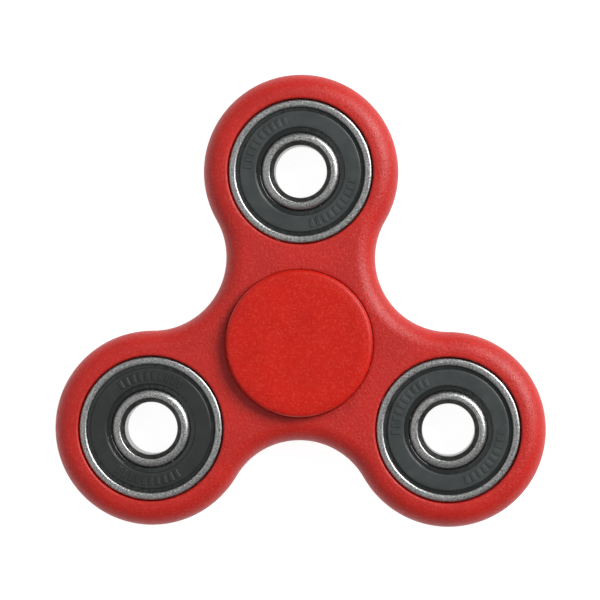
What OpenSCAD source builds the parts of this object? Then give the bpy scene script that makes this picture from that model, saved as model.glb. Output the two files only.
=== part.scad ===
// Three-lobed fidget spinner: a moulded frame holding four sealed ball bearings.
// The middle bearing turns between two finger caps and the outer three are weights.
// Millimetres. The spin axis is Z, the lower cap rests on Z = 0, and arm 1 points along +Y.

/* [Bearing] */
// Outside diameter of a bearing
bearing_od = 22; // [20:0.5:28]
// Bore of a bearing
bearing_bore = 8; // [6:0.1:10]
// Width of a bearing
bearing_w = 7; // [6.8:0.1:10]
// Diameter of a ball
ball_d = 3.969; // [3.2:0.001:4.8]
// Number of balls in a bearing
ball_count = 7; // [5:1:8]
// Radius of a raceway as a multiple of the ball's radius
race_conformity = 1.04; // [1.02:0.01:1.08]
// Depth of a raceway below its shoulders
race_depth = 0.5; // [0.35:0.05:0.6]
// Gap between a ball and the bottom of each raceway
race_clear = 0.04; // [0.02:0.01:0.08]
// Radius of the outer ring's outside edges
ring_round = 0.4; // [0.1:0.05:0.5]
// Radius of the outer ring's edges beside the seals
rim_round = 0.3; // [0.1:0.05:0.3]
// Radius of the inner ring's edges beside the seals
shoulder_round = 0.6; // [0.3:0.05:0.7]
// Radial width of the chamfer at each mouth of the bore
bore_chamfer_w = 0.75; // [0.3:0.05:0.85]
// Depth of the chamfer at each mouth of the bore
bore_chamfer_h = 0.95; // [0.3:0.05:1.1]

/* [Cage] */
// Thickness of the pressed cage strip
cage_sheet = 0.3; // [0.2:0.05:0.35]
// Radial width of the cage strip
cage_w = 1.5; // [1.2:0.1:1.8]
// Gap between a ball and its pocket
pocket_clear = 0.08; // [0.04:0.01:0.1]
// Diameter of a rivet's shank
rivet_d = 0.6; // [0.5:0.05:0.8]
// Diameter of a rivet's head
rivet_head_d = 1.0; // [0.9:0.05:1.1]
// Height of a rivet's head
rivet_head_h = 0.18; // [0.1:0.02:0.3]

/* [Seal] */
// Step from the outer ring's shoulder out to the wall that faces the seal
land_step = 0.78; // [0.6:0.02:1]
// Depth of the undercut that the seal snaps into
snap_depth = 0.25; // [0.15:0.05:0.3]
// Depth of the seal's face below the ring's face
seal_recess = 0.2; // [0.1:0.05:0.4]
// Thickness of the seal, where the cage leaves it that much room
seal_t = 0.75; // [0.6:0.05:0.8]
// Least gap between the cage and the seal
seal_gap = 0.18; // [0.1:0.01:0.3]
// Height of the seal's face over its outer bead
bead_step = 0.35; // [0.1:0.05:0.35]
// Width of the channel between the seal's face and the ring
bead_channel = 0.4; // [0.2:0.05:0.5]
// Small bevel on the edges of the seal's face
seal_bevel = 0.12; // [0.05:0.01:0.2]
// Radial width of the thin lip
lip_w = 0.5; // [0.4:0.05:0.8]
// Depth of the lip below the seal's face
lip_drop = 0.3; // [0.1:0.05:0.3]
// Running gap between the lip and the inner ring
lip_clear = 0.12; // [0.08:0.01:0.2]
// Slack between the seal's bead and its undercut
bead_slack = 0.05; // [0.02:0.01:0.1]
// Thickness of the steel washer in the seal
insert_t = 0.25; // [0.15:0.05:0.3]
// Rubber left round the washer's two edges
insert_cover = 0.25; // [0.15:0.05:0.4]

/* [Frame] */
// Plastic round an outer bearing
lobe_wall = 3.9; // [3:0.1:6]
// Plastic between the middle bearing and an outer one
web_w = 4.2; // [2:0.1:10]
// Depth of a bearing's face below the frame's face
bearing_recess = 0.3; // [0.1:0.05:1]
// Radius of the frame's rounded edge
frame_edge_r = 3; // [1:0.1:3.5]
// Radial slack of a bearing in its pocket
pocket_fit = 0.01; // [0.005:0.005:0.03]
// Chamfer at the mouth of a pocket
pocket_chamfer = 0.3; // [0.1:0.05:0.5]
// Extra radius of a pocket's mouth, which guides the bearing in
lead_in = 0.12; // [0.05:0.01:0.2]
// Depth of the guide below the frame's face
lead_depth = 1.5; // [1:0.1:2]

/* [Caps] */
// How far a cap reaches past the bearing it covers
cap_overlap = 0.2; // [0:0.05:1]
// Thickness of a cap's disc
cap_t = 1.8; // [1.4:0.1:3]
// Gap between a cap and the frame
cap_gap = 0.4; // [0.3:0.05:1]
// Radius of the cap's crowned border
crown_r = 12; // [6:0.5:16]
// Slope where the crowned border meets the corner, in degrees
crown_slope = 7; // [4:1:15]
// Radius of the cap's corner
corner_r = 0.45; // [0.2:0.05:0.6]
// Chamfer on the underside of the cap
cap_chamfer = 0.25; // [0.1:0.05:0.4]
// Step from the inner ring's rounded edge in to the cap's seat
seat_inset = 0.05; // [0:0.01:0.1]
// Radial slack of a cap's spigot in the bore
spigot_fit = 0.02; // [0.01:0.01:0.05]
// Gap between the ends of the two spigots
spigot_gap = 0.3; // [0.1:0.1:1]
// Chamfer on the end of a spigot
spigot_chamfer = 0.4; // [0.2:0.1:0.8]
// Diameter of the pin that joins the caps
pin_d = 4; // [3:0.1:5]
// Length of the pin past its spigot
pin_l = 3; // [2:0.1:3.2]
// Chamfer on the end of the pin
pin_chamfer = 0.3; // [0.1:0.1:0.5]
// Radial slack of the pin in its socket
pin_fit = 0.01; // [0.005:0.005:0.03]
// Room left past the end of the pin
pin_room = 0.2; // [0.1:0.1:0.4]

/* [Hidden] */
$fn = 96;

ARM_COUNT = 3;
BEARINGS = ["centre", "arm1", "arm2", "arm3"];
BEARING_PIECES = [
    "outer_ring", "inner_ring", "balls", "cage_upper", "cage_lower", "cage_rivets",
    "seal_upper", "seal_lower", "insert_upper", "insert_lower"
];

// How far a cutter runs past the face it cuts, and how far the waists bite into the
// lobes so that the two round edges cross instead of only touching.
cut = 1;
waist_bite = 0.01;

// Least flat left beside the frame's rounded edge, whatever that edge's own radius is.
min_flat = 0.3;

// Bearing: radii from its axis, and heights above its middle.
pitch_r = (bearing_od + bearing_bore) / 4;
ball_r = ball_d / 2;
race_r = ball_r * race_conformity;
outer_race_r = pitch_r + ball_r + race_clear;
inner_race_r = pitch_r - ball_r - race_clear;
outer_shoulder_r = outer_race_r - race_depth;
inner_shoulder_r = inner_race_r + race_depth;
land_r = outer_shoulder_r + land_step;
snap_r = land_r + snap_depth;
face_z = bearing_w / 2;

// Cage, and the seal that fills the room above it.
pocket_r = ball_r + pocket_clear;
cage_dome_r = pocket_r + cage_sheet;
seal_z = face_z - seal_recess;
seat_z = max(seal_z - seal_t, cage_dome_r + seal_gap);
bead_z = seal_z - bead_step;
lip_z = seal_z - lip_drop;
snap_z = bead_z + bead_slack;
bead_r = snap_r - bead_slack;
seal_face_r = land_r - bead_channel;
lip_r = inner_shoulder_r + lip_clear;
lip_root_r = lip_r + lip_w;
insert_in_r = lip_root_r + insert_cover;
insert_out_r = bead_r - bead_channel - insert_cover;

// Frame: lobes and waists sit on one ring of equal triangles round the spin axis,
// so each lobe's arc runs smoothly into the waists beside it.
lobe_r = bearing_od / 2 + lobe_wall;
reach = bearing_od + web_w;
waist_r = reach - lobe_r + waist_bite;
frame_t = bearing_w + 2 * bearing_recess;
mouth_w = pocket_fit + lead_in + pocket_chamfer;
edge_r = min(frame_edge_r, frame_t / 2 - min_flat, lobe_wall - mouth_w - min_flat);
frame_pocket_r = bearing_od / 2 + pocket_fit;

// Caps: heights above the middle plane, and the middle plane's own height.
cap_r = bearing_od / 2 + cap_overlap;
cap_under_z = frame_t / 2 + cap_gap;
mid_z = cap_under_z + cap_t;
cap_seat_r = inner_shoulder_r - shoulder_round - seat_inset;
spigot_r = bearing_bore / 2 - spigot_fit;
spigot_z = spigot_gap / 2;
pin_r = pin_d / 2;

// A point at radius r and angle a round the origin.
function polar(r, a) = [r * cos(a), r * sin(a)];

// The direction in which an arm, counted from 0, points.
function arm_angle(arm) = 90 + arm * 360 / ARM_COUNT;

// Where the axis of a bearing stands: number 0 is the middle one.
function bearing_angle(number) = number == 0 ? 90 : arm_angle(number - 1);
function bearing_place(number) = number == 0 ? [0, 0] : polar(reach, bearing_angle(number));

// A closed outline from the points of its upper half, and their mirror images below.
function both_ends(half) =
    concat(half, [for (i = [len(half) - 1:-1:0]) [half[i][0], -half[i][1]]]);

// ---- Bearing ----

module outer_ring() {
    upper_half = [
        [bearing_od / 2, face_z],
        [land_r, face_z],
        [land_r, snap_z],
        [snap_r, snap_z],
        [snap_r, seat_z],
        [outer_shoulder_r, seat_z]
    ];
    color("silver")
    rotate_extrude()
    difference() {
        polygon(both_ends(upper_half));
        translate([outer_race_r - race_r, 0]) circle(race_r);
        at_both_ends() {
            edge_off([bearing_od / 2, face_z], ring_round, 1);
            edge_off([land_r, face_z], rim_round, -1);
        }
    }
}

module inner_ring() {
    upper_half = [
        [inner_shoulder_r, face_z],
        [bearing_bore / 2 + bore_chamfer_w, face_z],
        [bearing_bore / 2, face_z - bore_chamfer_h]
    ];
    color("silver")
    rotate_extrude()
    difference() {
        polygon(both_ends(upper_half));
        translate([inner_race_r + race_r, 0]) circle(race_r);
        at_both_ends() edge_off([inner_shoulder_r, face_z], shoulder_round, 1);
    }
}

// What a rounding takes off an upper corner of a profile, on its right (1) or left (-1).
module edge_off(corner, radius, side) {
    centre = corner - [side * radius, radius];
    start_x = side > 0 ? centre[0] : corner[0] - cut;
    difference() {
        translate([start_x, centre[1]]) square(radius + cut);
        translate(centre) circle(radius);
    }
}

// A profile's children as they are, and again upside down.
module at_both_ends() {
    children();
    mirror([0, 1]) children();
}

// Repeats its children at each ball, starting a share of a pitch round.
module round_the_pitch(share = 0) {
    for (i = [0:ball_count - 1])
        rotate((i + share) * 360 / ball_count) translate([pitch_r, 0, 0]) children();
}

module balls() {
    color("gainsboro") round_the_pitch() sphere(ball_r);
}

// Half of a pressed ribbon cage: flat tabs with a domed pocket over each ball.
module cage_half() {
    color("darkgray")
    difference() {
        intersection() {
            cage_ring();
            union() {
                cylinder(h = cage_sheet, r = pitch_r + cage_w);
                round_the_pitch() sphere(cage_dome_r);
            }
        }
        round_the_pitch() sphere(pocket_r);
        round_the_pitch(0.5) cylinder(h = 4 * cage_sheet, r = rivet_d / 2, center = true);
    }
}

// The ring-shaped room that half a cage is pressed from.
module cage_ring() {
    difference() {
        cylinder(h = cage_dome_r + cut, r = pitch_r + cage_w / 2);
        translate([0, 0, -cut]) cylinder(h = cage_dome_r + 3 * cut, r = pitch_r - cage_w / 2);
    }
}

module cage_rivets() {
    color("silver")
    round_the_pitch(0.5) {
        cylinder(h = 2 * cage_sheet, r = rivet_d / 2, center = true);
        for (end = [-1, 1])
            translate([0, 0, end * (cage_sheet + rivet_head_h / 2)])
            cylinder(h = rivet_head_h, r = rivet_head_d / 2, center = true);
    }
}

// Rubber seal: an outer bead in the ring's undercut, a raised face and a thin inner lip.
module seal() {
    color("darkslategray")
    rotate_extrude()
    difference() {
        polygon([
            [lip_r, seat_z],
            [bead_r, seat_z],
            [bead_r, bead_z],
            [seal_face_r, bead_z],
            [seal_face_r, seal_z - seal_bevel],
            [seal_face_r - seal_bevel, seal_z],
            [lip_root_r + seal_bevel, seal_z],
            [lip_root_r, seal_z - seal_bevel],
            [lip_root_r, lip_z],
            [lip_r, lip_z]
        ]);
        translate([insert_in_r, seat_z - cut]) square([insert_out_r - insert_in_r, insert_t + cut]);
    }
}

// Steel washer bonded into the inside face of the seal.
module seal_insert() {
    color("dimgray")
    rotate_extrude()
    translate([insert_in_r, seat_z]) square([insert_out_r - insert_in_r, insert_t]);
}

// ---- Frame ----

// The half-profile of a rim with rounded edges. Its wall stands at the radius wall_r, and
// the plastic runs from there to the radius back_r, on the far side of the rounding.
module rim_profile(wall_r, back_r) {
    inward = back_r < wall_r ? 1 : -1;
    round_r = wall_r - inward * edge_r;
    flat_z = frame_t / 2 - edge_r;
    translate([min(wall_r, back_r), -flat_z]) square([abs(wall_r - back_r), 2 * flat_z]);
    if (back_r != round_r)
        translate([min(round_r, back_r), -frame_t / 2]) square([abs(round_r - back_r), frame_t]);
    for (side = [-1, 1])
        intersection() {
            translate([round_r, side * flat_z]) circle(edge_r);
            translate([min(wall_r, round_r), side > 0 ? flat_z : -frame_t / 2]) square(edge_r);
        }
}

module lobe() {
    rotate_extrude() rim_profile(lobe_r, 0);
}

// One waist's rim: an arc round a centre outside the frame, from one lobe to the next.
module waist_rim(angle) {
    turn = 180 / ARM_COUNT;
    rotate_extrude(start = angle + 180 - turn, angle = 2 * turn)
    rim_profile(waist_r, waist_r + edge_r);
}

// The plate between the lobes, inside the rounded edge of the waists.
module web_plate() {
    turn = 180 / ARM_COUNT;
    linear_extrude(frame_t, center = true)
    difference() {
        polygon([for (i = [0:2 * ARM_COUNT - 1]) polar(reach, arm_angle(0) + i * turn)]);
        for (arm = [0:ARM_COUNT - 1])
            translate(polar(reach, arm_angle(arm) + turn)) circle(waist_r + edge_r);
    }
}

// What a pocket takes out of the frame: a through hole with a guide and a chamfer at each mouth.
module frame_pocket() {
    lead_r = frame_pocket_r + lead_in;
    flare = pocket_chamfer + cut;
    cylinder(h = frame_t, r = frame_pocket_r, center = true);
    for (side = [0, 1])
        mirror([0, 0, side])
        translate([0, 0, frame_t / 2]) {
            translate([0, 0, -lead_depth]) cylinder(h = lead_depth + cut, r = lead_r);
            translate([0, 0, -pocket_chamfer]) cylinder(h = flare, r1 = lead_r, r2 = lead_r + flare);
        }
}

module frame() {
    color("crimson")
    difference() {
        union() {
            web_plate();
            for (arm = [0:ARM_COUNT - 1]) {
                waist_angle = arm_angle(arm) + 180 / ARM_COUNT;
                translate(polar(reach, arm_angle(arm))) lobe();
                translate(polar(reach, waist_angle)) waist_rim(waist_angle);
            }
        }
        for (number = [0:ARM_COUNT]) translate(bearing_place(number)) frame_pocket();
    }
}

// ---- Caps ----

// The disc of a cap: a flat pad with a crowned border and a rounded corner.
module cap_disc_profile() {
    top_z = mid_z;
    corner = [cap_r - corner_r, top_z - corner_r - crown_drop()];
    crown = [crown_start_r(), top_z - crown_r];
    steps = 6;
    polygon(concat(
        [[0, cap_under_z], [cap_r - cap_chamfer, cap_under_z], [cap_r, cap_under_z + cap_chamfer]],
        [for (i = [0:steps]) corner + polar(corner_r, i * (90 - crown_slope) / steps)],
        [for (i = [1:steps]) crown + polar(crown_r, 90 - crown_slope * (1 - i / steps))],
        [[0, top_z]]
    ));
}

// The crowned border turns through crown_slope before it meets the corner.
function crown_drop() = (crown_r - corner_r) * (1 - cos(crown_slope));
function crown_start_r() = cap_r - corner_r - (crown_r - corner_r) * sin(crown_slope);

// A cap's pad, its seat on the inner ring and its spigot in the bore, above the middle.
module cap_body() {
    rotate_extrude()
    union() {
        cap_disc_profile();
        polygon([
            [0, spigot_z],
            [spigot_r - spigot_chamfer, spigot_z],
            [spigot_r, spigot_z + spigot_chamfer],
            [spigot_r, face_z],
            [cap_seat_r, face_z],
            [cap_seat_r, cap_under_z + cap_chamfer],
            [0, cap_under_z + cap_chamfer]
        ]);
    }
}

module cap_upper() {
    color("red") {
        cap_body();
        pin_end_z = spigot_z - pin_l;
        translate([0, 0, pin_end_z + pin_chamfer]) cylinder(h = pin_l, r = pin_r);
        translate([0, 0, pin_end_z]) cylinder(h = pin_chamfer, r1 = pin_r - pin_chamfer, r2 = pin_r);
    }
}

module cap_lower() {
    socket_l = pin_l - spigot_gap + pin_room;
    color("red")
    mirror([0, 0, 1])
    difference() {
        cap_body();
        translate([0, 0, spigot_z - cut]) cylinder(h = socket_l + cut, r = pin_r + pin_fit);
    }
}

// ---- Assembly ----

translate([0, 0, mid_z]) {
    frame();
    cap_upper();
    cap_lower();
}

for (number = [0:len(BEARINGS) - 1]) {
    name = BEARINGS[number];
    translate(concat(bearing_place(number), mid_z)) rotate(bearing_angle(number)) {
        outer_ring();
        inner_ring();
        balls();
        cage_half();
        mirror([0, 0, 1]) cage_half();
        cage_rivets();
        seal();
        mirror([0, 0, 1]) seal();
        seal_insert();
        mirror([0, 0, 1]) seal_insert();
    }
}
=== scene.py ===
"""Looks of a three-lobed hand spinner: moulded frame, finger caps and sealed ball bearings.

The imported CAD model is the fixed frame. Every visible piece is modelled again here, with the
rounded edges and the surfaces of the real one, and rides on its CAD body.
"""

import math

import bmesh
import bpy
from mathutils import Matrix, Vector


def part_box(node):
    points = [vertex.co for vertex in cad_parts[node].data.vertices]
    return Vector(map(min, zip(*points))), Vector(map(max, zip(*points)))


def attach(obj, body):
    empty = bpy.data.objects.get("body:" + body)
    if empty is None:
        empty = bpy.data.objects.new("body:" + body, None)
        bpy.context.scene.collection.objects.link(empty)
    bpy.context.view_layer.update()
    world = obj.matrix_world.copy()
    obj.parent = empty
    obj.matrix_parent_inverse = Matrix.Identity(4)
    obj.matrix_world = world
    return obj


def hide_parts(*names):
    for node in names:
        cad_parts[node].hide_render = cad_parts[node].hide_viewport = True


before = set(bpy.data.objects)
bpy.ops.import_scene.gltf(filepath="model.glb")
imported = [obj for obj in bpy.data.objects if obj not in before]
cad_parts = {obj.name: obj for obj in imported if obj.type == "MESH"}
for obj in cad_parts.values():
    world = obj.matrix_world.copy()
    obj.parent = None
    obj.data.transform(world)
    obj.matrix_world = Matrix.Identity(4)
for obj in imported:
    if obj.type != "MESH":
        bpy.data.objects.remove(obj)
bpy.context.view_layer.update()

MM = 0.001


# ---- Sizes, in millimetres, from the CAD frame ----

def place_of(node):
    """The middle of a CAD node's box."""
    low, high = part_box(node)
    return (low + high) / 2 / MM


def size_of(node):
    """The size of a CAD node's box along X, Y and Z."""
    low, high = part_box(node)
    return (high - low) / MM


BEARINGS = ["centre", "arm1", "arm2", "arm3"]
ARM_COUNT = 3
MIDDLE = place_of("centre_outer_ring")
BEARING_R = size_of("centre_outer_ring").x / 2
FACE_Z = size_of("centre_outer_ring").z / 2
SHOULDER_R = size_of("centre_inner_ring").x / 2
BALL_R = size_of("centre_balls").z / 2
FRAME_T = size_of("frame").z
REACH = (place_of("arm1_outer_ring") - MIDDLE).length
LOBE_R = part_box("frame")[1].y / MM - REACH
CAP_R = size_of("cap_upper").x / 2
CAP_TOP_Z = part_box("cap_upper")[1].z / MM - MIDDLE.z
BEAD_R = size_of("centre_seal_upper").x / 2
SEAL_T = size_of("centre_seal_upper").z
WASHER_R = size_of("centre_insert_upper").x / 2
WASHER_T = size_of("centre_insert_upper").z

# Bearing details that no box shows.
BORE_R = 4.0
BORE_CHAMFER_W, BORE_CHAMFER_H = 0.75, 0.95
PITCH_R = (BEARING_R + BORE_R) / 2
RACE_R = BALL_R * 1.04
RACE_DEPTH = 0.5
RACE_CLEAR = 0.04
RING_ROUND, RIM_ROUND, SHOULDER_ROUND = 0.4, 0.35, 0.75
CAP_SEAT_R = SHOULDER_R - 0.65
LAND_R = BEAD_R - 0.2
SNAP_R = BEAD_R + 0.05
SEAL_Z = FACE_Z - 0.2
SEAT_Z = SEAL_Z - SEAL_T
BEAD_Z = SEAL_Z - 0.35
SEAL_FACE_R = LAND_R - 0.55
LIP_R = SHOULDER_R + 0.04
LIP_ROOT_R = SHOULDER_R + 0.8
LIP_Z = SEAL_Z - 0.3
WASHER_HOLE_R = SHOULDER_R + 0.87

SPIN_STEPS = 144


def polar(radius, degrees):
    """The point at this radius and angle round the origin."""
    angle = math.radians(degrees)
    return Vector((radius * math.cos(angle), radius * math.sin(angle), 0))


def arc_points(centre, radius, start, end, steps):
    """Profile points (radius, height, no rounding) along an arc, from one angle to another."""
    turns = [start + (end - start) * i / steps for i in range(steps + 1)]
    points = [Vector((*centre, 0)) + polar(radius, turn) for turn in turns]
    return [(point.x, point.y, 0) for point in points]


# ---- Camera ----

def add_camera():
    """A long lens almost straight above, a little to the right of the spin axis."""
    distance, field = 480, 91.3
    aim = Vector((0.04, 6.6, MIDDLE.z + FACE_Z))
    stand = Vector((20, 8, aim.z + distance))
    roll = 0.004
    back = (stand - aim).normalized()
    right = Vector((math.cos(roll), math.sin(roll), 0))
    right = (right - back * right.dot(back)).normalized()
    data = bpy.data.cameras.new("camera")
    data.sensor_width = 36
    data.lens = data.sensor_width * distance / field
    data.clip_end = 10
    camera = bpy.data.objects.new("camera", data)
    bpy.context.scene.collection.objects.link(camera)
    camera.rotation_mode = "QUATERNION"
    turn = Matrix((right, back.cross(right), back)).transposed()
    camera.rotation_quaternion = turn.to_quaternion()
    camera.location = stand * MM
    bpy.context.scene.camera = camera


add_camera()


# ---- Materials ----

def tint(hex_code):
    """An sRGB hex colour as a linear colour with alpha."""
    shares = [int(hex_code[i:i + 2], 16) / 255 for i in (0, 2, 4)]
    linear = [s / 12.92 if s <= 0.04045 else ((s + 0.055) / 1.055) ** 2.4 for s in shares]
    return (*linear, 1.0)


def add(tree, kind, settings=None, links=None):
    """Adds a node. A setting names a property, or else an input socket; a link feeds an input."""
    made = tree.nodes.new(kind)
    for name, value in (settings or {}).items():
        if isinstance(name, str) and hasattr(made, name):
            setattr(made, name, value)
        else:
            made.inputs[name].default_value = value
    for name, source in (links or {}).items():
        tree.links.new(source, made.inputs[name])
    return made


def new_material(name, **settings):
    """A material with its shader, and the settings that are the same all over the surface."""
    material = bpy.data.materials.new(name)
    material.use_nodes = True
    tree = material.node_tree
    shader = tree.nodes["Principled BSDF"]
    for socket, value in settings.items():
        shader.inputs[socket.replace("_", " ")].default_value = value
    return material, tree, shader


def grain(tree, coordinates, size_mm, detail=2.0, roughness=0.5):
    """Noise whose lumps are about this size."""
    settings = {"Scale": 1 / (size_mm * MM), "Detail": detail, "Roughness": roughness}
    return add(tree, "ShaderNodeTexNoise", settings, {"Vector": coordinates}).outputs["Fac"]


def ramp(tree, value, stops):
    """Spreads a value over colours or levels, given as (place, colour) stops."""
    made = add(tree, "ShaderNodeValToRGB", links={"Fac": value})
    elements = made.color_ramp.elements
    while len(elements) < len(stops):
        elements.new(0.5)
    for element, (place, colour) in zip(elements, stops):
        element.position = place
        element.color = colour if isinstance(colour, tuple) else (colour, colour, colour, 1)
    return made.outputs["Color"]


def bumped(tree, shader, layers):
    """Stacks bump layers, given as (height, depth in micrometres), on the shader's normal."""
    normal = None
    for height, depth_um in layers:
        links = {"Height": height, "Normal": normal} if normal else {"Height": height}
        settings = {"Strength": 1.0, "Distance": depth_um * MM * MM}
        normal = add(tree, "ShaderNodeBump", settings, links).outputs["Normal"]
    tree.links.new(normal, shader.inputs["Normal"])


def moulded_abs(name, body, dark, pale, specks, shine, matt, grain_um):
    """Red ABS from a spark-eroded mould: an even red under a fine grain that frosts the highlights.

    The grain of such a mould is about 0.1 mm. It is drawn at 0.36 mm so that it shows. Handling
    leaves pale specks where the tops of the grain are rubbed, and broad, barely darker clouds.
    A higher level of specks leaves fewer of them.
    """
    material, tree, shader = new_material(name, IOR=1.5, Specular_IOR_Level=shine)
    place = add(tree, "ShaderNodeTexCoord").outputs["Object"]
    cloud = ramp(tree, grain(tree, place, 6.0, 3.0), [(0.35, tint(dark)), (0.65, tint(body))])
    rubbed = ramp(tree, grain(tree, place, 0.32, 3.0, 0.8), [(specks, 0.0), (specks + 0.25, 1.0)])
    colour = add(
        tree, "ShaderNodeMix", {"data_type": "RGBA", 7: tint(pale)}, {0: rubbed, 6: cloud}
    ).outputs[2]
    tree.links.new(colour, shader.inputs["Base Color"])
    wear = ramp(tree, grain(tree, place, 1.4, 4.0, 0.7), [(0.3, matt - 0.06), (0.7, matt + 0.06)])
    tree.links.new(wear, shader.inputs["Roughness"])
    pits = grain(tree, place, 0.36, 3.0, 0.7)
    bumped(tree, shader, [(pits, grain_um)])
    return material


def turned_steel(name, dark, light, matt, line_um, grit_um):
    """Bearing steel ground on its faces: lines round the axis, under a frosty, gritty lay.

    The grit of the wheel leaves marks of about 0.05 mm. They are drawn at 0.22 mm, so that they
    show.
    """
    material, tree, shader = new_material(name, Metallic=1.0)
    around = add(tree, "ShaderNodeAttribute", {"attribute_name": "turned"}).outputs["Vector"]
    place = add(tree, "ShaderNodeTexCoord").outputs["Object"]
    settings = {"Scale": 1.0, "Detail": 3.0, "Roughness": 0.6}
    lines = add(tree, "ShaderNodeTexNoise", settings, {"Vector": around}).outputs["Fac"]
    grit = grain(tree, place, 0.22, 3.0, 0.8)
    tone = ramp(tree, grit, [(0.35, tint(dark)), (0.65, tint(light))])
    tree.links.new(tone, shader.inputs["Base Color"])
    frost = ramp(tree, grit, [(0.3, matt - 0.1), (0.7, matt + 0.12)])
    tree.links.new(frost, shader.inputs["Roughness"])
    bumped(tree, shader, [(grit, grit_um), (lines, line_um)])
    return material


def scale_and_shade_steel():
    """Hardened steel left as it came from the furnace: a dark, even scale with a dull shine, made
    darker as painted shade on the bore chamfers and in the groove by the seals.
    """
    material, tree, shader = new_material("heat_scale_and_shade_steel", Metallic=1.0)
    place = add(tree, "ShaderNodeTexCoord").outputs["Object"]
    cloud = grain(tree, place, 0.7, 3.0, 0.6)
    tone = ramp(tree, cloud, [(0.3, tint("50514F")), (0.7, tint("70716E"))])
    tree.links.new(tone, shader.inputs["Base Color"])
    tree.links.new(ramp(tree, cloud, [(0.3, 0.3), (0.7, 0.45)]), shader.inputs["Roughness"])
    bumped(tree, shader, [(cloud, 6)])
    return material


def moulded_nitrile(name, body, dusty, matt, wave_um):
    """Nitrile rubber from a polished mould: charcoal, smooth and nearly matt, faintly dusty.

    Glossier and with a wavy skin, it is the same rubber under a film of grease. The darker copies
    are painted shade, in a seal's recesses and on one bearing's seals.
    """
    material, tree, shader = new_material(name, IOR=1.52)
    place = add(tree, "ShaderNodeTexCoord").outputs["Object"]
    dust = ramp(tree, grain(tree, place, 3.0, 4.0, 0.6), [(0.35, tint(body)), (0.7, tint(dusty))])
    tree.links.new(dust, shader.inputs["Base Color"])
    sheen = ramp(tree, grain(tree, place, 1.2, 3.0), [(0.3, matt - 0.04), (0.7, matt + 0.05)])
    tree.links.new(sheen, shader.inputs["Roughness"])
    bumped(tree, shader, [(grain(tree, place, 0.9, 2.0), wave_um)])
    return material


def plain_steel(name, dark, light, matt):
    """Rolled or polished steel behind the seals: clean and bright, with faint clouds."""
    material, tree, shader = new_material(name, Metallic=1.0)
    place = add(tree, "ShaderNodeTexCoord").outputs["Object"]
    cloud = grain(tree, place, 0.8, 3.0)
    tone = ramp(tree, cloud, [(0.3, tint(dark)), (0.7, tint(light))])
    tree.links.new(tone, shader.inputs["Base Color"])
    tree.links.new(ramp(tree, cloud, [(0.3, matt), (0.7, matt + 0.1)]), shader.inputs["Roughness"])
    return material


FRAME_ABS = moulded_abs("spark_eroded_abs", "B01207", "A51006", "C4392F", 0.51, 0.4, 0.42, 85)
CAP_ABS = moulded_abs("satin_abs", "B81304", "AF1104", "CA3B2D", 0.51, 0.25, 0.36, 60)
RING_STEEL = turned_steel("ground_bearing_steel", "5E605F", "CCCECC", 0.36, 4, 14)
# Dark steel: partly a real scale, partly painted shade on the bore chamfers and in the groove by
# the seals.
SCALE_AND_SHADE_STEEL = scale_and_shade_steel()
SEAL_RUBBER = moulded_nitrile("moulded_nitrile_rubber", "282C2C", "353B3A", 0.4, 3)
# A darker copy of the seal rubber: painted shade on the seals of the arm2 bearing, on the side away
# from the key light.
SHADED_COPY_RUBBER = moulded_nitrile("shaded_copy_nitrile_rubber", "191C1C", "212524", 0.38, 3)
# Greased rubber: the gloss is a grease film; the darker colour is painted shade in the lip recess
# and the bead groove.
GREASED_SHADED_RUBBER = moulded_nitrile("greased_shaded_nitrile_rubber", "191B1B", "202222", 0.15, 70)
BALL_STEEL = plain_steel("polished_chrome_steel", "E2E2E2", "D8D8D6", 0.08)
STRIP_STEEL = plain_steel("pressed_strip_steel", "A8A8A6", "D8D8D6", 0.32)


# ---- Mesh work ----

def finish_piece(bm, name, materials, body, slot, *nodes, sharp=32):
    """Turns a mesh into a piece that rides on a body and stands for CAD nodes."""
    for face in bm.faces:
        face.smooth = True
    for edge in bm.edges:
        edge.smooth = len(edge.link_faces) == 2 and edge.calc_face_angle() < math.radians(sharp)
    mesh = bpy.data.meshes.new(name)
    bm.to_mesh(mesh)
    bm.free()
    for material in materials:
        mesh.materials.append(material)
    piece = bpy.data.objects.new(name, mesh)
    bpy.context.scene.collection.objects.link(piece)
    shading = piece.modifiers.new("face_weighted_shading", "WEIGHTED_NORMAL")
    shading.keep_sharp = True
    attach(piece, body)
    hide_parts(*nodes)
    return piece


def radius_of(vert):
    return math.hypot(vert.co.x, vert.co.y) / MM


def rim_edges(bm, radius, height):
    """The edges of the circle at this radius and height."""
    def on_rim(vert):
        return abs(radius_of(vert) - radius) < 0.004 and abs(vert.co.z / MM - height) < 0.004
    return [edge for edge in bm.edges if on_rim(edge.verts[0]) and on_rim(edge.verts[1])]


def bevel(bm, edges, size, segments):
    bmesh.ops.bevel(
        bm,
        geom=edges,
        offset=size * MM,
        segments=segments,
        profile=0.5,
        affect="EDGES",
        material=-1,
    )


def spin_round(bm, geometry, place):
    """Spins a profile once round the upright axis through a place."""
    bmesh.ops.spin(
        bm,
        geom=geometry,
        cent=Vector((place.x, place.y, 0)) * MM,
        axis=(0, 0, 1),
        angle=math.tau,
        steps=SPIN_STEPS,
        use_merge=True,
    )


def spun(outline):
    """A turned solid: a closed outline of (radius, height, rounding) spun round Z."""
    bm = bmesh.new()
    verts = [bm.verts.new((r * MM, 0, z * MM)) for r, z, _ in outline]
    pairs = zip(verts, verts[1:] + verts[:1])
    edges = [bm.edges.new(pair) for pair in pairs if pair[0].co.x + pair[1].co.x > 0]
    spin_round(bm, verts + edges, Vector())
    bmesh.ops.remove_doubles(bm, verts=bm.verts, dist=1e-3 * MM)
    bmesh.ops.recalc_face_normals(bm, faces=bm.faces)
    for radius, height, rounding in outline:
        if rounding:
            bevel(bm, rim_edges(bm, radius, height), rounding, 4)
    return bm


def both_ends(half):
    """A closed outline from its upper half, and the same points mirrored below."""
    return half + [(r, -z, rounding) for r, z, rounding in reversed(half)]


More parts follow.
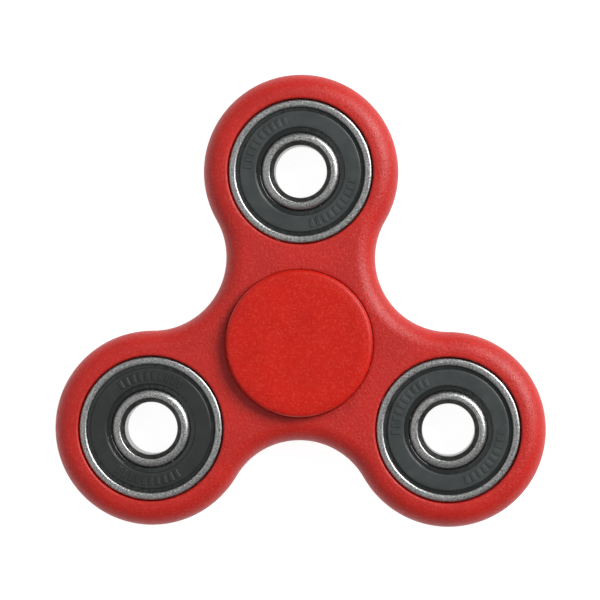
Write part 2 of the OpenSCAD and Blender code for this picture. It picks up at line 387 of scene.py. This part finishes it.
def turned_coordinates(bm):
    """Stores where each point lies along the profile and round the axis, for ground lines.

    A pattern on these coordinates has 9 lines to a millimetre, which run far round the axis.
    """
    lines_per_mm, turn_radius = 9, 2
    layer = bm.verts.layers.float_vector.new("turned")
    for vert in bm.verts:
        around = vert.co.to_2d().normalized() * turn_radius
        vert[layer] = ((radius_of(vert) + vert.co.z / MM) * lines_per_mm, around.x, around.y)


def put(bm, bearing, flip=False):
    """Moves a mesh made round the origin to its bearing, upside down for a lower piece."""
    if flip:
        bmesh.ops.rotate(bm, verts=bm.verts, matrix=Matrix.Rotation(math.pi, 3, "X"))
    bmesh.ops.translate(bm, verts=bm.verts, vec=place_of(f"{bearing}_outer_ring") * MM)


# ---- Bearings ----

def raceway(bottom_r, outward):
    """The half of a raceway above the middle, from its shoulder to its bottom or back."""
    lean = math.degrees(math.acos(1 - RACE_DEPTH / RACE_R))
    centre = (bottom_r - outward * RACE_R, 0)
    if outward > 0:
        return arc_points(centre, RACE_R, lean, 0, 5)[:-1]
    return arc_points(centre, RACE_R, 180 - lean, 180, 5)[:-1]


def outer_ring(bearing):
    """Ground outside and on its faces. The inside, which the seals cover, gets the dark steel,
    painted shade on the wall of the groove by the seal.
    """
    race_bottom = PITCH_R + BALL_R + RACE_CLEAR
    half = [
        (BEARING_R, FACE_Z, RING_ROUND),
        (LAND_R, FACE_Z, RIM_ROUND),
        (LAND_R, BEAD_Z + 0.05, 0),
        (SNAP_R, BEAD_Z + 0.05, 0),
        (SNAP_R, SEAT_Z, 0),
        (race_bottom - RACE_DEPTH, SEAT_Z, 0),
    ]
    bm = spun(both_ends(half + raceway(race_bottom, 1)))
    # Painted shade: the inside of the ring, with the wall of the groove by the seal, gets the dark
    # steel.
    mark_faces(bm, lambda r, z: r < LAND_R + 0.01)
    finish_ring(bm, f"{bearing}_ring_outer", bearing, "spinner", f"{bearing}_outer_ring")


def inner_ring(bearing, body):
    """Ground all over, but for the chamfers of the bore, which get the dark steel: partly their
    scale, partly painted shade for the dark that they reflect.
    """
    race_bottom = PITCH_R - BALL_R - RACE_CLEAR
    chamfer_r = BORE_R + BORE_CHAMFER_W
    half = [
        (BORE_R, FACE_Z - BORE_CHAMFER_H, 0.1),
        (chamfer_r, FACE_Z, 0.1),
        (SHOULDER_R, FACE_Z, SHOULDER_ROUND),
    ]
    bm = spun(both_ends(half + raceway(race_bottom, -1)))
    # Painted shade: the bore chamfers get the dark steel, for the dark that they reflect.
    mark_faces(bm, lambda r, z: BORE_R + 0.05 < r < chamfer_r - 0.08)
    finish_ring(bm, f"{bearing}_ring_inner", bearing, body, f"{bearing}_inner_ring")


def mark_faces(bm, wanted):
    """Gives a piece's second material to the faces whose middle has such a radius and height."""
    for face in bm.faces:
        middle = face.calc_center_median()
        face.material_index = int(wanted(middle.to_2d().length / MM, middle.z / MM))


def finish_ring(bm, name, bearing, body, node):
    turned_coordinates(bm)
    put(bm, bearing)
    finish_piece(bm, name, [RING_STEEL, SCALE_AND_SHADE_STEEL], body, "bearing_steel", node)


# Runs of plain blocks moulded in a seal's face, as (first step of the spin, number of blocks).
MARK_RUNS = [(42, 10), (112, 10)]
# A block is two steps wide, and the next one starts three steps on.
MARK_STEPS, MARK_PITCH = 2, 3
MARK_EDGE, MARK_HEIGHT = 0.12, 0.1
MARK_MARGIN = 0.55
SEAL_TURNS = {"centre": 0, "arm1": 0, "arm2": -50, "arm3": 8}
# The arm2 seals get the darker copy of the rubber, as painted shade.
SEAL_FINISHES = {
    "centre": SEAL_RUBBER, "arm1": SEAL_RUBBER, "arm2": SHADED_COPY_RUBBER, "arm3": SEAL_RUBBER
}


def seal(bearing, side):
    """A rubber seal: bead, face with moulded blocks, and a greased lip, darker as painted shade in
    the lip's recess and the bead's groove.
    """
    mark_in, mark_out = LIP_ROOT_R + MARK_MARGIN, SEAL_FACE_R - MARK_MARGIN
    outline = [
        (LIP_R, SEAT_Z, 0),
        (WASHER_HOLE_R, SEAT_Z, 0),
        (WASHER_HOLE_R, SEAT_Z + WASHER_T, 0),
        (WASHER_R, SEAT_Z + WASHER_T, 0),
        (WASHER_R, SEAT_Z, 0),
        (BEAD_R, SEAT_Z, 0),
        (BEAD_R, BEAD_Z, 0.06),
        (SEAL_FACE_R, BEAD_Z, 0),
        (SEAL_FACE_R, SEAL_Z, 0.16),
        (mark_out, SEAL_Z, 0),
        (mark_in, SEAL_Z, 0),
        (LIP_ROOT_R, SEAL_Z, 0.16),
        (LIP_ROOT_R, LIP_Z, 0.08),
        (LIP_R, LIP_Z, 0.2),
    ]
    bm = spun(outline)
    raise_marks(bm, mark_in, mark_out)
    # Painted shade: the lip recess and the bead groove get the darker greased rubber.
    mark_faces(bm, lambda r, z: r < LIP_ROOT_R - 0.01 or r > SEAL_FACE_R + 0.01)
    turn = Matrix.Rotation(math.radians(SEAL_TURNS[bearing]), 3, "Z")
    bmesh.ops.rotate(bm, verts=bm.verts, matrix=turn)
    put(bm, bearing, side == "lower")
    finish_piece(
        bm,
        f"{bearing}_seal_{side}_rubber",
        [SEAL_FINISHES[bearing], GREASED_SHADED_RUBBER],
        "spinner",
        "seal_rubber",
        f"{bearing}_seal_{side}",
    )


def raise_marks(bm, inner, outer):
    """Raises runs of small blocks on the seal's face, between two radii."""
    step = 360 / SPIN_STEPS
    band = {}
    for face in bm.faces:
        middle = face.calc_center_median()
        if inner < middle.to_2d().length / MM < outer and middle.z / MM > SEAL_Z - 0.01:
            band[int(math.degrees(math.atan2(middle.y, middle.x)) % 360 / step)] = face
    for first, count in MARK_RUNS:
        for block in range(count):
            start = first + MARK_PITCH * block
            bmesh.ops.inset_region(
                bm,
                faces=[band[(start + i) % SPIN_STEPS] for i in range(MARK_STEPS)],
                thickness=MARK_EDGE * MM,
                depth=MARK_HEIGHT * MM,
                use_even_offset=True,
            )


# ---- Frame ----

EDGE_R = 3.0
POCKET_R = BEARING_R + 0.01
LEAD_R = POCKET_R + 0.12
LEAD_DEPTH = 1.5
MOUTH_ROUND = 0.3
MOUTH_FLANGE = 0.3
PART_LINE_W, PART_LINE_DEPTH = 0.07, 0.05
LOBE_STEPS = 96


def frame_outline(bm):
    """The plan: arcs of the lobes and waists, which run smoothly into each other."""
    waist_r = REACH - LOBE_R
    for arm in range(ARM_COUNT):
        angle = 90 + arm * 120
        lobe, waist = polar(REACH, angle), polar(REACH, angle + 60)
        start = bm.verts.new((lobe + polar(LOBE_R, angle - 120)) * MM)
        spin_arc(bm, start, lobe, 240, LOBE_STEPS)
        start = bm.verts.new((waist + polar(waist_r, angle - 60)) * MM)
        spin_arc(bm, start, waist, -120, LOBE_STEPS // 3)
    bmesh.ops.remove_doubles(bm, verts=bm.verts, dist=0.01 * MM)


def spin_arc(bm, start, centre, degrees, steps):
    """Draws an arc from a vertex, round a centre in the plan."""
    bmesh.ops.spin(
        bm,
        geom=[start],
        cent=centre * MM,
        axis=(0, 0, 1),
        angle=math.radians(degrees),
        steps=steps,
        use_merge=False,
    )


def frame_blank():
    """The frame before its pockets are cut: the plan drawn up and its edges rounded."""
    bm = bmesh.new()
    frame_outline(bm)
    bmesh.ops.translate(bm, verts=bm.verts, vec=(0, 0, -FRAME_T / 2 * MM))
    rings = [list(bm.edges)]
    for _ in range(2):
        made = bmesh.ops.extrude_edge_only(bm, edges=rings[-1])["geom"]
        verts = [item for item in made if isinstance(item, bmesh.types.BMVert)]
        bmesh.ops.translate(bm, verts=verts, vec=(0, 0, FRAME_T / 2 * MM))
        rings.append([e for e in made if isinstance(e, bmesh.types.BMEdge) and flat(e)])
    for ring in (rings[0], rings[-1]):
        bmesh.ops.contextual_create(bm, geom=ring)
    bmesh.ops.recalc_face_normals(bm, faces=bm.faces)
    bevel(bm, rings[0] + rings[-1], EDGE_R, 12)
    part_line(bm)
    return bm


def flat(edge):
    """Whether an edge lies level."""
    return abs(edge.verts[0].co.z - edge.verts[1].co.z) < 1e-9


def part_line(bm):
    """A fine groove round the middle, where the two halves of the mould met."""
    middle = [e for e in bm.edges if flat(e) and abs(e.verts[0].co.z) < 1e-6]
    bevel(bm, middle, PART_LINE_W, 2)
    bm.normal_update()
    for vert in bm.verts:
        if abs(vert.co.z) < 1e-6:
            vert.co -= vert.normal * PART_LINE_DEPTH * MM


def pocket(bm, place):
    """A through pocket with a guide and a rounded edge at each mouth, and a narrow flange."""
    top, step = FRAME_T / 2, FRAME_T / 2 - LEAD_DEPTH
    mouth = (LEAD_R + MOUTH_ROUND, top - MOUTH_ROUND)
    half = [(mouth[0] + MOUTH_FLANGE, top, 0)] + arc_points(mouth, MOUTH_ROUND, 90, 180, 4)
    half += [(LEAD_R, step, 0), (POCKET_R, step, 0)]
    verts = [bm.verts.new(Vector((place.x + r, place.y, z)) * MM) for r, z, _ in both_ends(half)]
    edges = [bm.edges.new(pair) for pair in zip(verts, verts[1:])]
    spin_round(bm, verts + edges, place)


def frame_piece():
    """The moulded frame: its blank loses its two flat faces, gains pockets, and is closed."""
    bm = frame_blank()
    flats = [face for face in bm.faces if len(face.verts) > 8]
    bmesh.ops.delete(bm, geom=flats, context="FACES_ONLY")
    for bearing in BEARINGS:
        pocket(bm, place_of(f"{bearing}_outer_ring"))
    for side in (1, -1):
        open_edges = [
            edge for edge in bm.edges if len(edge.link_faces) == 1 and edge.verts[0].co.z * side > 0
        ]
        bmesh.ops.triangle_fill(bm, use_beauty=True, edges=open_edges, normal=(0, 0, side))
    bmesh.ops.recalc_face_normals(bm, faces=bm.faces)
    bmesh.ops.translate(bm, verts=bm.verts, vec=(0, 0, MIDDLE.z * MM))
    finish_piece(bm, "spinner_frame", [FRAME_ABS], "spinner", "frame_plastic", "frame")


# ---- Caps ----

CAP_T = 1.8
CROWN_R, CROWN_SLOPE, CORNER_R = 12.0, 7, 0.65
SPIGOT_R, SPIGOT_END_Z = BORE_R - 0.02, 0.15
PIN_R, PIN_END_Z = 2.0, -2.85
SOCKET_R, SOCKET_END_Z = PIN_R + 0.01, 3.05


def crowned_edge():
    """The profile of a cap's top, from its corner in to the axis."""
    corner_top = CAP_TOP_Z - (CROWN_R - CORNER_R) * (1 - math.cos(math.radians(CROWN_SLOPE)))
    crown_start = CAP_R - CORNER_R - (CROWN_R - CORNER_R) * math.sin(math.radians(CROWN_SLOPE))
    corner = arc_points((CAP_R - CORNER_R, corner_top - CORNER_R), CORNER_R, 0, 90 - CROWN_SLOPE, 7)
    crown = arc_points((crown_start, CAP_TOP_Z - CROWN_R), CROWN_R, 90 - CROWN_SLOPE, 90, 8)
    return corner + crown[1:] + [(0, CAP_TOP_Z, 0)]


def cap(side):
    """A finger cap: crowned disc, seat on the inner ring, and spigot with a pin or a socket."""
    under = CAP_TOP_Z - CAP_T
    if side == "upper":
        core = [(0, PIN_END_Z, 0), (PIN_R, PIN_END_Z, 0.3), (PIN_R, SPIGOT_END_Z, 0)]
    else:
        core = [(0, SOCKET_END_Z, 0), (SOCKET_R, SOCKET_END_Z, 0), (SOCKET_R, SPIGOT_END_Z, 0)]
    shank = [
        (SPIGOT_R, SPIGOT_END_Z, 0.4),
        (SPIGOT_R, FACE_Z, 0),
        (CAP_SEAT_R, FACE_Z, 0),
        (CAP_SEAT_R, under, 0),
        (CAP_R, under, 0.25),
    ]
    bm = spun(core + shank + crowned_edge())
    put(bm, "centre", side == "lower")
    finish_piece(bm, f"finger_cap_{side}", [CAP_ABS], "hub", "cap_plastic", f"cap_{side}")


# ---- Assembly ----

frame_piece()
for side in ("upper", "lower"):
    cap(side)
for bearing in BEARINGS:
    outer_ring(bearing)
    inner_ring(bearing, "hub" if bearing == "centre" else f"{bearing}_inner")
    for side in ("upper", "lower"):
        seal(bearing, side)
        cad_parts[f"{bearing}_insert_{side}"].data.materials[0] = STRIP_STEEL
        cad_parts[f"{bearing}_cage_{side}"].data.materials[0] = STRIP_STEEL
    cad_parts[f"{bearing}_cage_rivets"].data.materials[0] = STRIP_STEEL
    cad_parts[f"{bearing}_balls"].data.materials[0] = BALL_STEEL


# ---- Floor and light ----

def add_floor():
    """A white translucent table, lit a little from below, a hair under the spinner."""
    material, tree, shader = new_material(
        "white_acrylic_table", Base_Color=tint("8A8A8A"), Roughness=0.6, Emission_Strength=0.92
    )
    shader.inputs["Emission Color"].default_value = (1, 1, 1, 1)
    bm = bmesh.new()
    hair = Matrix.Translation((0, 0, -0.02 * MM))
    bmesh.ops.create_grid(bm, x_segments=1, y_segments=1, size=4, matrix=hair)
    mesh = bpy.data.meshes.new("floor")
    bm.to_mesh(mesh)
    bm.free()
    mesh.materials.append(material)
    floor = bpy.data.objects.new("floor", mesh)
    bpy.context.scene.collection.objects.link(floor)


def add_light(name, azimuth, elevation, distance, size, watts):
    """A square soft box that faces the spinner. Azimuth 0 is +X and 90 is +Y."""
    data = bpy.data.lights.new(name, "AREA")
    data.size = size
    data.energy = watts
    light = bpy.data.objects.new(name, data)
    bpy.context.scene.collection.objects.link(light)
    across = polar(math.cos(math.radians(elevation)), azimuth)
    away = Vector((across.x, across.y, math.sin(math.radians(elevation))))
    light.location = away * distance
    light.rotation_mode = "QUATERNION"
    light.rotation_quaternion = away.to_track_quat("Z", "Y")
    light.visible_camera = False


def add_world(horizon, zenith):
    """Pale studio walls that fall off to a dim ceiling."""
    world = bpy.data.worlds.new("studio")
    world.use_nodes = True
    tree = world.node_tree
    place = add(tree, "ShaderNodeTexCoord").outputs["Generated"]
    height = add(tree, "ShaderNodeSeparateXYZ", links={"Vector": place}).outputs["Z"]
    walls = ramp(tree, height, [(0.1, horizon), (0.7, zenith)])
    tree.links.new(walls, tree.nodes["Background"].inputs["Color"])
    bpy.context.scene.world = world


add_floor()
add_world(0.36, 0.27)
add_light("key", 33, 42, 0.9, 0.45, 10.5)
add_light("fill", 170, 55, 1.2, 1.4, 3)
bpy.context.scene.view_settings.view_transform = "Standard"
